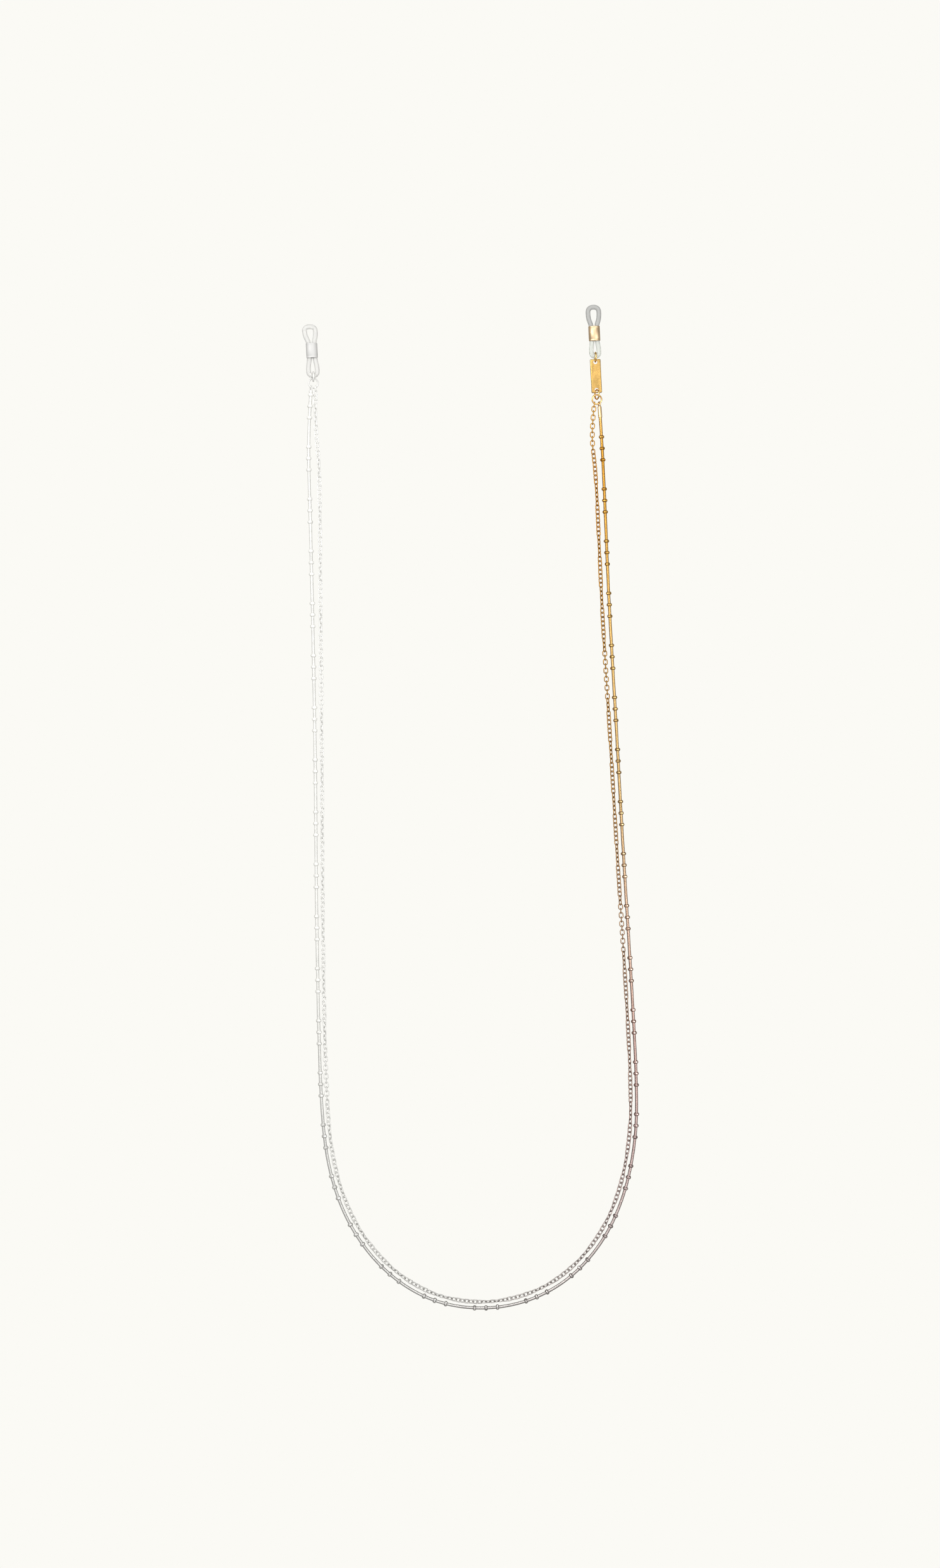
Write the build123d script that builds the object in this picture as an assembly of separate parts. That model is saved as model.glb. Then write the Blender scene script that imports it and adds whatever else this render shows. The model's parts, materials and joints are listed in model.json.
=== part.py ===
"""Eyeglasses chain strap: a fine cable chain and a beaded snake chain side by side in one long U.

Each end of the strap hangs in jump rings from a clear silicone loop, which a metal barrel pinches
round the temple of a pair of glasses.  The strap lies flat, with its beads on the surface z = 0,
its two ends towards +Y and the bottom of the U towards -Y.  All sizes are in millimetres.
"""
from build123d import *
from math import atan2, cos, hypot, pi, radians, sin, sqrt, tan
import os

# --- Snake chain, its crimped ring beads and its end caps --------------------------------------
SNAKE_OD = 1.0
BEAD_OD = 1.75
BEAD_LENGTH = 1.0
BEAD_EDGE = 0.2            # rounding of a bead's rims
SNAKE_FIT = 0.01           # radial play of the snake chain in beads and caps
BEADS_IN_GROUP = 3
BEAD_STEP = 3.7            # from bead to bead inside a group
GROUPS_IN_RUN = (4, 4, 4, 4, 3, 3, 4, 4, 4, 4)
FIRST_BEAD = 10.8          # from the right strap ring's wire to the first bead
LAST_BEAD = 2.35           # from the last bead to the left strap ring's wire
CAP_OD = 1.3
CAP_LENGTH_RIGHT = 3.7
CAP_LENGTH_LEFT = 0.85
CAP_END_WALL = 0.35        # solid metal between a cap's eye and its bore
EYE_OD = 1.75              # the eye soldered on a cap
EYE_WIRE = 0.4
EYE_LEAN = 60.0            # degrees from lying flat

# --- Cable chain --------------------------------------------------------------------------------
LINK_LENGTH = 2.12
LINK_WIDTH = 1.57
LINK_WIRE = 0.36
LINK_PLAY = 0.015          # slack between two links' wires
LINK_LEAN = 31.0           # degrees that each link leans from its neighbours' common plane
TWIST_LINKS = 12           # links in one turn of the chain's natural twist
BROAD_LINKS = 7            # of which so many lie on their broad side, and the rest on edge
SQUARE_TURN = 80.0         # links whose planes differ by more than this turn on one wire
SQUARE_STRETCHES = ((1.5, 14.5), (80.0, 95.0), (161.0, 175.0), (407.0, 420.0), (532.0, 546.0))

# --- Rings, tag and temple loops ----------------------------------------------------------------
RING_OD = 3.5
RING_WIRE = 0.5
RING_PLAY = 0.05           # least gap between a ring's wire and what it holds
TAG_RING_LEAN = 65.0
LOOP_RING_LEAN = 84.0
TAG_RING_LIFT = 1.55       # the tag ring's centre past the right strap ring's centre
LOOP_RING_LIFT_LEFT = 2.1  # the left loop ring's centre past the left strap ring's centre
TAG_WIDTH = 3.4
TAG_LENGTH = 10.9
TAG_THICKNESS = 0.7
TAG_CORNER = 0.35
TAG_HOLE = 1.3
TAG_RIM = 0.35             # metal between a hole and the tag's end
TAG_TILT = 2.8             # degrees
SILICONE_OD = 1.5
LOOP_TILT_RIGHT = 2.5      # degrees, as the loop lies
LOOP_TILT_LEFT = 3.3
LOWER_HALF_WIDTH_RIGHT = 1.2   # centreline of the lower loop, which holds the ring
LOWER_HALF_WIDTH_LEFT = 1.4
BARREL_AT_RIGHT = 7.3      # from the loop's foot to the middle of its barrel
BARREL_AT_LEFT = 8.1
LOOP_HEIGHT = 15.8         # between the centres of the cord at a loop's two ends
TEMPLE_HALF_WIDTH = 1.75   # centreline of the upper loop, which grips the temple
LEG_GAP = 0.06             # between the two legs inside the barrel
LOOP_BEND_R = 3.0          # of the silicone's gentle bends next to the barrel
UPPER_RISE = 2.6           # from the barrel's end to where the upper loop is at its widest
LOWER_RISE_SHARE = 0.35    # the same for the lower loop, as a share of its straight height
BARREL_LENGTH = 4.7
BARREL_WALL = 0.29
BARREL_FLATTENING = 0.78   # the crimped barrel's height over its width
BARREL_FIT = 0.03          # play of the silicone in the barrel
BARREL_EDGE = 0.12

# --- The two strands' routes, from the right strap ring to the left one --------------------------
SNAKE_ROUTE = [
    (41.3, 130.2), (42.1, 119.0), (43.0, 101.0), (44.4, 66.0), (46.8, 26.0), (49.1, -16.0),
    (51.8, -58.0), (53.4, -89.0), (53.2, -106.0), (49.8, -124.0), (42.6, -140.0),
    (31.0, -152.6), (16.6, -159.8), (0.6, -161.6), (-15.2, -158.0), (-29.2, -148.2),
    (-39.6, -134.0), (-45.6, -117.6), (-48.1, -99.0), (-49.2, -64.0), (-49.8, -24.0),
    (-50.1, 18.0), (-50.9, 60.0), (-51.8, 97.0), (-52.5, 120.0), (-51.4, 135.35),
]
CABLE_ROUTE = [
    (39.75, 130.2), (38.6, 120.5), (40.2, 108.0), (41.1, 88.0), (42.4, 60.0), (44.6, 26.0),
    (47.1, -16.0), (49.9, -58.0), (51.5, -89.0), (51.3, -105.6), (48.1, -123.2),
    (41.2, -138.5), (30.0, -150.8), (16.1, -157.8), (0.6, -159.6), (-14.5, -156.1),
    (-28.0, -146.6), (-38.0, -133.0), (-43.8, -117.1), (-46.3, -98.9), (-47.35, -64.0),
    (-47.8, -24.0), (-48.0, 18.0), (-48.4, 60.0), (-48.6, 92.0), (-48.8, 111.0),
    (-50.3, 124.5), (-50.0, 135.35),
]
ARC_SHARE = 0.45           # share of the shorter run that each bend takes at a point
NEAREST_STEPS = 200        # a route's nearest place to a point is looked for in so many steps,
NEAREST_ROUNDS = 6         # so many times over, each time round the last place found

# --- Sizes worked out from the ones above ---------------------------------------------------------
RING_R = (RING_OD - RING_WIRE) / 2
EYE_R = (EYE_OD - EYE_WIRE) / 2
LINK_PITCH = LINK_LENGTH - 2 * LINK_WIRE - LINK_PLAY
STRAND_Z = max(BEAD_OD, EYE_OD, LINK_WIDTH) / 2
LEG_X = (SILICONE_OD + LEG_GAP) / 2
BORE_WIDTH = 2 * LEG_X + SILICONE_OD + 2 * BARREL_FIT
BORE_HEIGHT = SILICONE_OD + 2 * BARREL_FIT
BARREL_WIDTH = BORE_WIDTH + 2 * BARREL_WALL
BARREL_HEIGHT = BARREL_WIDTH * BARREL_FLATTENING
END_Z = BARREL_HEIGHT / 2
EYE_AT = EYE_R - (RING_WIRE + EYE_WIRE) / 2 - RING_PLAY
CAP_AT = EYE_AT + EYE_R
LINK_AT = (LINK_LENGTH - LINK_WIRE) / 2 - (RING_WIRE + LINK_WIRE) / 2 - RING_PLAY
TAG_HOLE_AT = TAG_LENGTH / 2 - TAG_RIM - TAG_HOLE / 2
HOLE_SLACK = (TAG_HOLE - RING_WIRE) / 2


class Route:
    """A flat line of straight runs joined by tangent arcs, measured by the distance along it."""

    def __init__(self, points, z=0.0, radii=None):
        self.z, self.pieces, self.radii, self.length = z, [], [], 0.0
        here = points[0]
        for i, corner in enumerate(points[1:-1]):
            before, after = points[i], points[i + 2]
            run_in = hypot(corner[0] - before[0], corner[1] - before[1])
            run_out = hypot(after[0] - corner[0], after[1] - corner[1])
            heading_in = atan2(corner[1] - before[1], corner[0] - before[0])
            heading_out = atan2(after[1] - corner[1], after[0] - corner[0])
            turn = (heading_out - heading_in + pi) % (2 * pi) - pi
            radius = radii[i] if radii else ARC_SHARE * min(run_in, run_out) / abs(tan(turn / 2))
            setback = radius * abs(tan(turn / 2))
            start = (corner[0] - setback * cos(heading_in), corner[1] - setback * sin(heading_in))
            self._add(here, heading_in, hypot(start[0] - here[0], start[1] - here[1]), 0.0)
            self._add(start, heading_in, radius * abs(turn), turn / abs(turn) / radius)
            here = (corner[0] + setback * cos(heading_out), corner[1] + setback * sin(heading_out))
            self.radii.append(radius)
        last = points[-1]
        heading = atan2(last[1] - here[1], last[0] - here[0])
        self._add(here, heading, hypot(last[0] - here[0], last[1] - here[1]), 0.0)

    def _add(self, start, heading, length, curvature):
        if length > 1e-6:
            self.pieces.append((self.length, start, heading, length, curvature))
            self.length += length

    def at(self, s):
        """The point at distance s and the heading there, in radians."""
        begin, start, heading, _, curvature = next(
            (p for p in self.pieces if s <= p[0] + p[3]), self.pieces[-1])
        d = s - begin
        if curvature == 0:
            return Vector(start[0] + d * cos(heading), start[1] + d * sin(heading), self.z), heading
        turned = heading + d * curvature
        x = start[0] + (sin(turned) - sin(heading)) / curvature
        y = start[1] - (cos(turned) - cos(heading)) / curvature
        return Vector(x, y, self.z), turned

    def frame(self, s, backwards=False):
        """A plane at distance s with X along the route and Z up."""
        point, heading = self.at(s)
        if backwards:
            heading += pi
        return Plane(origin=point, x_dir=(cos(heading), sin(heading), 0), z_dir=(0, 0, 1))

    def nearest(self, point):
        """The distance along the route at which it passes nearest to a point."""
        low, high = 0.0, self.length
        for _ in range(NEAREST_ROUNDS):
            step = (high - low) / NEAREST_STEPS
            best = min((low + i * step for i in range(NEAREST_STEPS + 1)),
                       key=lambda s: (self.at(s)[0] - point).length)
            low, high = max(0.0, best - step), min(self.length, best + step)
        return best

    def wire(self, low, high):
        """The stretch from low to high."""
        edges = []
        for begin, _, _, length, curvature in self.pieces:
            a, b = max(low, begin), min(high, begin + length)
            if b - a < 1e-6:
                continue
            start, end = self.at(a)[0], self.at(b)[0]
            middle = self.at((a + b) / 2)[0]
            edges.append(Line(start, end) if curvature == 0 else ThreePointArc(start, middle, end))
        return Wire([e.edge() for e in edges])


def round_tube(wire, diameter):
    """A solid cord of that diameter along a wire."""
    return sweep(Plane(origin=wire @ 0, z_dir=wire % 0) * Circle(diameter / 2), path=wire)


# --- Where everything sits along the strands ------------------------------------------------------
snake = Route(SNAKE_ROUTE, STRAND_Z)
cable = Route(CABLE_ROUTE, STRAND_Z)

GROUP_LENGTH = (BEADS_IN_GROUP - 1) * BEAD_STEP
GROUPS = sum(GROUPS_IN_RUN)
GROUP_STEP = (snake.length - FIRST_BEAD - LAST_BEAD - GROUP_LENGTH) / (GROUPS - 1)
LINKS = round((cable.length - 2 * LINK_AT) / LINK_PITCH) + 1
PITCH = (cable.length - 2 * LINK_AT) / (LINKS - 1)


def dihedral(a, b):
    """The angle between two links' planes, from 0 to 90 degrees."""
    d = abs(a - b) % 180
    return min(d, 180 - d)


def link_rolls():
    """Each link's turn about the strand: 0 lies flat, 90 stands on edge."""
    rolls, base, sign = [90.0], 90, 0
    for i in range(1, LINKS):
        s = LINK_AT + i * PITCH
        square = any(low < s < high for low, high in SQUARE_STRETCHES)
        if square or sign == 0:
            new_base = 90 - base
        else:
            new_base = 0 if i % TWIST_LINKS < BROAD_LINKS else 90
        if square:
            sign = 0
        elif sign == 0:
            sign = 1
        elif new_base == base:
            sign = -sign
        base = new_base
        rolls.append(base + sign * LINK_LEAN)
    before = rolls[-2]
    choices = (90.0, 90.0 + LINK_LEAN, 90.0 - LINK_LEAN)
    rolls[-1] = max(choices, key=lambda r: min(dihedral(r, before), dihedral(r, 0)))
    return rolls


ROLLS = link_rolls()


def hinge_at(number):
    """The distance along the cable at which link number and the next one turn on each other.
    Links square to each other turn on the flatter one's wire, and others between their wires."""
    reach = (LINK_LENGTH - LINK_WIRE) / 2
    if dihedral(ROLLS[number], ROLLS[number + 1]) < SQUARE_TURN:
        return LINK_AT + (number + 0.5) * PITCH
    if dihedral(ROLLS[number], 0) <= dihedral(ROLLS[number + 1], 0):
        return LINK_AT + number * PITCH + reach
    return LINK_AT + (number + 1) * PITCH - reach


def find_folds():
    """Between two runs the strap folds at a meeting of two links that stand square to each other,
    level with the middle of a plain span of the snake chain.
    Gives (last link of the run, distance along the cable, distance along the snake)."""
    folds, groups = [], 0
    for count in GROUPS_IN_RUN[:-1]:
        groups += count
        plain = GROUP_STEP - GROUP_LENGTH
        middle = FIRST_BEAD + groups * GROUP_STEP - plain / 2
        level = cable.nearest(snake.at(middle)[0])
        guess = round((level - LINK_AT) / PITCH - 0.5)
        number = min(range(guess - 2, guess + 3), key=lambda n: (
            dihedral(ROLLS[n], ROLLS[n + 1]) < SQUARE_TURN, abs(hinge_at(n) - level)))
        contact = hinge_at(number)
        folds.append((number, contact, snake.nearest(cable.at(contact)[0])))
    return folds


FOLDS = find_folds()
SNAKE_START = CAP_AT + CAP_END_WALL + 2 * SNAKE_FIT
SNAKE_END = snake.length - SNAKE_START


# --- The pieces, each built at the origin with its length along X ---------------------------------
def cable_link():
    """One oval link, lying flat."""
    line = SlotOverall(LINK_LENGTH - LINK_WIRE, LINK_WIDTH - LINK_WIRE).wire()
    return round_tube(line, LINK_WIRE).solid()


def ring_bead():
    """One short ring, crimped on the snake chain."""
    outside = Cylinder(BEAD_OD / 2, BEAD_LENGTH)
    outside = fillet(outside.edges().filter_by(GeomType.CIRCLE), BEAD_EDGE)
    return (Rot(0, 90, 0) * (outside - Cylinder(SNAKE_OD / 2 + SNAKE_FIT, 2 * BEAD_LENGTH))).solid()


def end_cap(length):
    """The snake chain's end cap with its eye, the eye's centre at the origin."""
    body = Cylinder(CAP_OD / 2, length, align=(Align.CENTER, Align.CENTER, Align.MIN))
    body = fillet(body.edges().sort_by(Axis.Z)[0], CAP_OD / 4)
    bore = Cylinder(SNAKE_OD / 2 + SNAKE_FIT, length, align=(Align.CENTER, Align.CENTER, Align.MIN))
    body -= Pos(0, 0, CAP_END_WALL) * bore
    eye = Rot(EYE_LEAN, 0, 0) * Torus(EYE_R, EYE_WIRE / 2)
    return (eye + Pos(EYE_R, 0, 0) * Rot(0, 90, 0) * body).solid()


def jump_ring(lean):
    """A round ring.  It lies flat at lean 0, and stands up along the strand at lean 90."""
    return Rot(0, -lean, 0) * Torus(RING_R, RING_WIRE / 2)


def blank_tag():
    """The flat bar between the rings, with a hole near each end.  Its length is along Y."""
    plate = Rectangle(TAG_WIDTH, TAG_LENGTH)
    plate = fillet(plate.vertices(), TAG_CORNER)
    for end in (-1, 1):
        plate -= Pos(0, end * TAG_HOLE_AT) * Circle(TAG_HOLE / 2)
    return extrude(plate, TAG_THICKNESS / 2, both=True).solid()


def temple_loop(lower_half_width, barrel_at):
    """The silicone loop, pinched to a figure of eight.  The cord's centre at the foot of the lower
    loop is at the origin, and the loop stands along +Y."""
    leg_low = barrel_at - BARREL_LENGTH / 2
    leg_high = barrel_at + BARREL_LENGTH / 2
    r_low, r_high = lower_half_width, TEMPLE_HALF_WIDTH
    shoulder = r_low + LOWER_RISE_SHARE * (leg_low - r_low)
    points = [(0, 0), (r_low, 0), (r_low, shoulder), (LEG_X, leg_low), (LEG_X, leg_high),
              (r_high, leg_high + UPPER_RISE), (r_high, LOOP_HEIGHT), (0, LOOP_HEIGHT)]
    half = Route(points, radii=[r_low, *4 * [LOOP_BEND_R], r_high])
    right = round_tube(half.wire(0, half.length), SILICONE_OD)
    return (right + mirror(right, Plane.YZ)).solid()


def loop_barrel():
    """The crimped metal barrel, its length along Y."""
    outside = extrude(Plane.XZ * Ellipse(BARREL_WIDTH / 2, BARREL_HEIGHT / 2), BARREL_LENGTH / 2,
                      both=True)
    outside = fillet(outside.edges().filter_by(GeomType.ELLIPSE), BARREL_EDGE)
    bore = extrude(Plane.XZ * SlotOverall(BORE_WIDTH, BORE_HEIGHT), BARREL_LENGTH, both=True)
    return (outside - bore).solid()


# --- Putting the strap together -------------------------------------------------------------------
def strand_nodes():
    """The two chains and the beads, one node of each for every run between two folds."""
    nodes = {}
    link, bead = cable_link(), ring_bead()
    link_ends = [0] + [number + 1 for number, _, _ in FOLDS] + [LINKS]
    snake_ends = [SNAKE_START] + [s for _, _, s in FOLDS] + [SNAKE_END]
    group = 0
    for run, groups in enumerate(GROUPS_IN_RUN, start=1):
        links = []
        for number in range(link_ends[run - 1], link_ends[run]):
            place = cable.frame(LINK_AT + number * PITCH).location
            links.append(place * Rot(ROLLS[number], 0, 0) * link)
        nodes[f"cable_run_{run:02d}"] = links
        nodes[f"snake_run_{run:02d}"] = [
            round_tube(snake.wire(snake_ends[run - 1], snake_ends[run]), SNAKE_OD).solid()]
        beads = []
        for _ in range(groups):
            for i in range(BEADS_IN_GROUP):
                s = FIRST_BEAD + group * GROUP_STEP + i * BEAD_STEP
                beads.append(snake.frame(s).location * bead)
            group += 1
        nodes[f"bead_run_{run:02d}"] = beads
    nodes["snake_end_cap_right"] = [
        snake.frame(EYE_AT).location * end_cap(CAP_LENGTH_RIGHT)]
    nodes["snake_end_cap_left"] = [
        snake.frame(snake.length - EYE_AT, backwards=True).location * end_cap(CAP_LENGTH_LEFT)]
    return nodes


def strap_ring_centre(snake_end, cable_end):
    """The strap ring's wire passes through the ends of both routes, and its centre is above them."""
    across = hypot(snake_end[0] - cable_end[0], snake_end[1] - cable_end[1])
    rise = sqrt(RING_R ** 2 - (across / 2) ** 2)
    return ((snake_end[0] + cable_end[0]) / 2, (snake_end[1] + cable_end[1]) / 2 + rise)


def ring_reach(lean, level):
    """How far along the strand a leaning ring's wire is from its centre at a given height, and
    how far to the side it is there."""
    up = (level - ring_height(lean)) / sin(radians(lean))
    return sqrt(RING_R ** 2 - up ** 2), up * cos(radians(lean))


def ring_height(lean):
    """A leaning ring's centre when the ring stands on z = 0."""
    return RING_R * sin(radians(lean)) + RING_WIRE / 2


def cord_in_ring(lean):
    """How far past a loop ring's centre the silicone cord lies that the ring holds."""
    radius = RING_R - (RING_WIRE + SILICONE_OD) / 2 - RING_PLAY
    drop = ring_height(lean) - END_Z
    return sqrt(max(radius ** 2 - drop ** 2, 0.0))


def loop_with_barrel(foot, tilt, lower_half_width, barrel_at):
    """The silicone loop and its barrel, with the foot of the loop at a point."""
    place = Pos(foot[0], foot[1], END_Z) * Rot(0, 0, tilt)
    return (place * temple_loop(lower_half_width, barrel_at),
            place * Pos(0, barrel_at, 0) * loop_barrel())


def right_end():
    """From the strap ring up: tag ring, tag, loop ring, silicone loop and barrel."""
    ring_x, ring_y = strap_ring_centre(SNAKE_ROUTE[0], CABLE_ROUTE[0])
    tag_ring_y = ring_y + TAG_RING_LIFT
    reach, side = ring_reach(TAG_RING_LEAN, END_Z)
    hole_x, hole_y = ring_x + side, tag_ring_y + reach
    lean = radians(TAG_TILT)
    tag_x, tag_y = hole_x - TAG_HOLE_AT * sin(lean), hole_y + TAG_HOLE_AT * cos(lean)
    top_x, top_y = tag_x - TAG_HOLE_AT * sin(lean), tag_y + TAG_HOLE_AT * cos(lean)
    reach, side = ring_reach(LOOP_RING_LEAN, END_Z)
    loop_ring_y = top_y + HOLE_SLACK / 3 + reach
    foot = (top_x, loop_ring_y + cord_in_ring(LOOP_RING_LEAN))
    loop, barrel = loop_with_barrel(foot, LOOP_TILT_RIGHT, LOWER_HALF_WIDTH_RIGHT, BARREL_AT_RIGHT)
    print(f"right: strap ring {ring_x:.3f} {ring_y:.3f}, tag ring y {tag_ring_y:.3f}, "
          f"tag holes {hole_x:.3f} {hole_y:.3f} and {top_x:.3f} {top_y:.3f}, "
          f"loop ring {top_x - side:.3f} {loop_ring_y:.3f}, foot {foot[0]:.3f} {foot[1]:.3f}, "
          f"level {END_Z:.3f}")
    return {
        "strap_ring_right": Pos(ring_x, ring_y, STRAND_Z) * jump_ring(0),
        "tag_ring": Pos(ring_x, tag_ring_y, ring_height(TAG_RING_LEAN)) * jump_ring(TAG_RING_LEAN),
        "blank_tag": Pos(tag_x, tag_y, END_Z) * Rot(0, 0, TAG_TILT) * blank_tag(),
        "loop_ring_right": Pos(top_x - side, loop_ring_y, ring_height(LOOP_RING_LEAN))
        * jump_ring(LOOP_RING_LEAN),
        "temple_loop_right": loop,
        "loop_barrel_right": barrel,
    }


def left_end():
    """From the strap ring up: loop ring, silicone loop and barrel."""
    ring_x, ring_y = strap_ring_centre(SNAKE_ROUTE[-1], CABLE_ROUTE[-1])
    loop_ring_y = ring_y + LOOP_RING_LIFT_LEFT
    _, side = ring_reach(LOOP_RING_LEAN, END_Z)
    foot = (ring_x + side, loop_ring_y + cord_in_ring(LOOP_RING_LEAN))
    loop, barrel = loop_with_barrel(foot, LOOP_TILT_LEFT, LOWER_HALF_WIDTH_LEFT, BARREL_AT_LEFT)
    print(f"left: strap ring {ring_x:.3f} {ring_y:.3f}, loop ring {ring_x:.3f} {loop_ring_y:.3f}, "
          f"foot {foot[0]:.3f} {foot[1]:.3f}")
    return {
        "strap_ring_left": Pos(ring_x, ring_y, STRAND_Z) * jump_ring(0),
        "loop_ring_left": Pos(ring_x, loop_ring_y, ring_height(LOOP_RING_LEAN))
        * jump_ring(LOOP_RING_LEAN),
        "temple_loop_left": loop,
        "loop_barrel_left": barrel,
    }


def main():
    os.makedirs("parts", exist_ok=True)
    nodes = strand_nodes()
    nodes.update(right_end())
    nodes.update(left_end())
    for name, solids in nodes.items():
        if not isinstance(solids, list):
            solids = [solids]
        export_step(Compound(children=solids), f"parts/{name}.step")
    for name, route in (("snake", snake), ("cable", cable)):
        print(name, f"{route.length:.1f} mm, bend radii", [round(r) for r in route.radii])
    section = pi * SNAKE_OD ** 2 / 4
    for run in range(1, len(GROUPS_IN_RUN) + 1):
        ends = [SNAKE_START] + [s for _, _, s in FOLDS] + [SNAKE_END]
        volume = nodes[f"snake_run_{run:02d}"][0].volume
        print(f"snake_run_{run:02d} volume over section x length:",
              round(volume / (section * (ends[run] - ends[run - 1])), 4))
    print(LINKS, "links at", round(PITCH, 4), "mm,", GROUPS * BEADS_IN_GROUP, "beads, groups every",
          round(GROUP_STEP, 3), "mm")
    for number, contact, s in FOLDS:
        here, there = cable.at(contact)[0], snake.at(s)[0]
        print("fold", number, round(dihedral(ROLLS[number], ROLLS[number + 1])),
              [round(v, 3) for v in (here.X, here.Y, there.X, there.Y)])


main()
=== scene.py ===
"""The looks of an eyeglasses chain strap: two fine chains in one long U, and at each end the jump
rings, a clear silicone loop and the metal barrel that pinches it round a temple of the glasses."""

import json
import math

import bpy
import numpy as np
from mathutils import Matrix, Vector


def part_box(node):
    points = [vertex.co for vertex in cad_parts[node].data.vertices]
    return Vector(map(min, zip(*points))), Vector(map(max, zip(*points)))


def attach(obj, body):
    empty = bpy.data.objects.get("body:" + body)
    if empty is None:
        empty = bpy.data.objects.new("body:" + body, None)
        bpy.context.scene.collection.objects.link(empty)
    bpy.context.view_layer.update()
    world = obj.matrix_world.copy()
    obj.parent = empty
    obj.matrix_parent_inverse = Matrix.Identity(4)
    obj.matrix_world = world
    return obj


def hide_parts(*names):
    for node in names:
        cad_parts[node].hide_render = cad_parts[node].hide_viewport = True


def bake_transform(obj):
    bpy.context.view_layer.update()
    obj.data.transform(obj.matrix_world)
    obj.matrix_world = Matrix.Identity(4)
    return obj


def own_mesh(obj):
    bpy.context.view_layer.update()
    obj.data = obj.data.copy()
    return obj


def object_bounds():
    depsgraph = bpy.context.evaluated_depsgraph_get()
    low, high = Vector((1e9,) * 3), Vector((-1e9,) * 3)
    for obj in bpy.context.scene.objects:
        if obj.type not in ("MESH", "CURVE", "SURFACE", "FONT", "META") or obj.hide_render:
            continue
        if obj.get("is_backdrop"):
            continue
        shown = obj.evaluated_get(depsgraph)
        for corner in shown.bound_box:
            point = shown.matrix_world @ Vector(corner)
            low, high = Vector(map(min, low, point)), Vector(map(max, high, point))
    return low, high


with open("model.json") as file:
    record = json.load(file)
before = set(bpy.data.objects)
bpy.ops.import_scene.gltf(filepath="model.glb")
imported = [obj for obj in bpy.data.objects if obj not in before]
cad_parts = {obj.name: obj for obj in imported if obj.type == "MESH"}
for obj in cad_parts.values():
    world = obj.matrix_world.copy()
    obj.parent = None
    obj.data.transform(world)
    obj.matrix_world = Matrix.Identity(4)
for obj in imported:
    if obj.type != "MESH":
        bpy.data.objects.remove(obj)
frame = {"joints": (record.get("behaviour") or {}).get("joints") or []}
cad_low, cad_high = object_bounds()
scene = bpy.context.scene

# --- Camera --------------------------------------------------------------------------------------
# The strap lies on a table and is seen from straight above, with its two ends at the top.
# A long lens keeps both arms of the U free of perspective.
LENS, SENSOR = 100.0, 36.0
VIEW_HEIGHT = 0.5051                       # metres of table from the top of the view to its foot
VIEW_CENTRE = (-0.0003, 0.0077)
bpy.ops.object.select_all(action="DESELECT")
bpy.ops.object.camera_add(location=(*VIEW_CENTRE, VIEW_HEIGHT * LENS / SENSOR), rotation=(0, 0, 0))
camera = bpy.context.object
camera.data.lens = LENS
camera.data.sensor_width = SENSOR
scene.camera = camera

# --- Table and lights ----------------------------------------------------------------------------
# A plain pale table that glows evenly, so that nothing throws a shadow on it, under a bright soft
# ceiling whose light falls off towards the horizon, which gives round metal its darker sides.
# Seen straight or through the silicone the table glows in full, and mirrored in metal by half.
PALE = (0.965, 0.956, 0.913)
TABLE_GLOW_ON_METAL = 0.50
CEILING = ((0.0, 0.10), (0.52, 0.12), (0.72, 0.42), (0.88, 1.05), (1.0, 1.2))
SOFTBOXES = (                              # place, size and power
    ((-0.55, 0.35, 0.75), (0.30, 0.60), 5.0),
    ((0.60, -0.10, 0.80), (0.25, 0.70), 4.0),
    ((0.05, 0.80, 0.70), (0.70, 0.20), 3.0),
)

scene.view_settings.view_transform = "Standard"
bpy.ops.mesh.primitive_plane_add(size=6, location=(0, 0, cad_low.z - 0.0001))
table = bpy.context.object
table.name = "table"
glow = bpy.data.materials.new("table_glow")
glow.use_nodes = True
glow.node_tree.nodes.clear()
emission = glow.node_tree.nodes.new("ShaderNodeEmission")
emission.inputs["Color"].default_value = (*PALE, 1)
ray = glow.node_tree.nodes.new("ShaderNodeLightPath")
in_full = glow.node_tree.nodes.new("ShaderNodeMath")
in_full.operation = "MAXIMUM"
strength = glow.node_tree.nodes.new("ShaderNodeMapRange")
strength.inputs["To Min"].default_value = TABLE_GLOW_ON_METAL
glow_out = glow.node_tree.nodes.new("ShaderNodeOutputMaterial")
glow.node_tree.links.new(ray.outputs["Is Camera Ray"], in_full.inputs[0])
glow.node_tree.links.new(ray.outputs["Is Transmission Ray"], in_full.inputs[1])
glow.node_tree.links.new(in_full.outputs[0], strength.inputs["Value"])
glow.node_tree.links.new(strength.outputs["Result"], emission.inputs["Strength"])
glow.node_tree.links.new(emission.outputs["Emission"], glow_out.inputs["Surface"])
table.data.materials.append(glow)
table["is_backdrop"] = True

room = bpy.data.worlds.new("studio")
scene.world = room
room.use_nodes = True
sky = room.node_tree.nodes
sky.clear()
direction = sky.new("ShaderNodeTexCoord")
split = sky.new("ShaderNodeSeparateXYZ")
height = sky.new("ShaderNodeMapRange")
height.inputs["From Min"].default_value = -1.0
ceiling = sky.new("ShaderNodeValToRGB")
for i, (place, level) in enumerate(CEILING):
    stop = ceiling.color_ramp.elements[i] if i < 2 else ceiling.color_ramp.elements.new(place)
    stop.position = place
    stop.color = (level, level, level, 1)
seen = sky.new("ShaderNodeLightPath")
choice = sky.new("ShaderNodeMix")
choice.data_type = "RGBA"
background = sky.new("ShaderNodeBackground")
sky_out = sky.new("ShaderNodeOutputWorld")
wire = room.node_tree.links.new
wire(direction.outputs["Generated"], split.inputs["Vector"])
wire(split.outputs["Z"], height.inputs["Value"])
wire(height.outputs["Result"], ceiling.inputs["Fac"])
wire(ceiling.outputs["Color"], choice.inputs[6])
wire(seen.outputs["Is Camera Ray"], choice.inputs["Factor"])
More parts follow.
